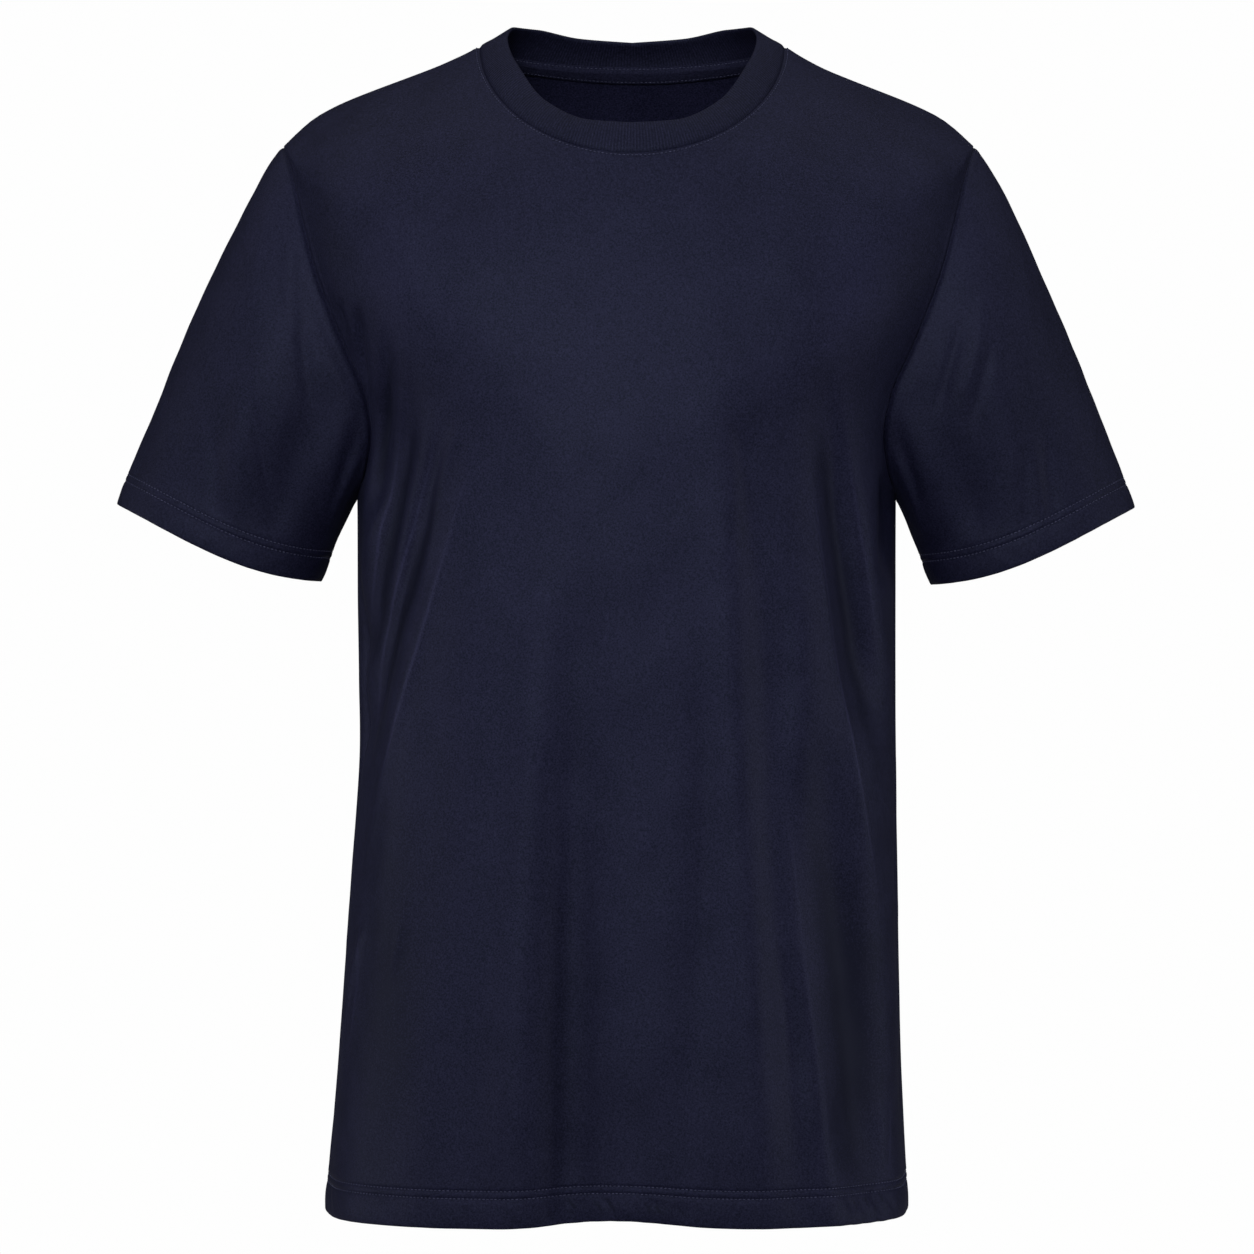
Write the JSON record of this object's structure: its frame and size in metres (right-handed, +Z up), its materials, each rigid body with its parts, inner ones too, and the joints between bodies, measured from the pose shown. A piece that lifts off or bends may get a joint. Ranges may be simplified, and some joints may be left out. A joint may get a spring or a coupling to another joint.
{
  "type": "crew neck t-shirt",
  "caption": "Plain short-sleeved crew neck t-shirt in navy jersey, filled out as if worn, with a rib collar and turned-up hem and cuffs.",
  "frame": {"origin": "centre of the neck base, between the high points of the two shoulders, where the wearer's shoulders carry the shirt", "axes": "+Z up, front of the shirt faces -Y, +X towards the sleeve on the right of the picture"},
  "size_m": [0.6204, 0.2446, 0.7212],
  "materials": {
    "jersey": "smooth navy jersey knit with a slight sheen",
    "rib_knit": "navy 1x1 rib knit",
    "neck_tape": "navy jersey tape"
  },
  "bodies": {
    "root": {"front_panel": "jersey", "back_panel": "jersey", "sleeve_left": "jersey", "sleeve_right": "jersey", "neck_rib": "rib_knit", "neck_tape": "neck_tape"}
  },
  "joints": []
}
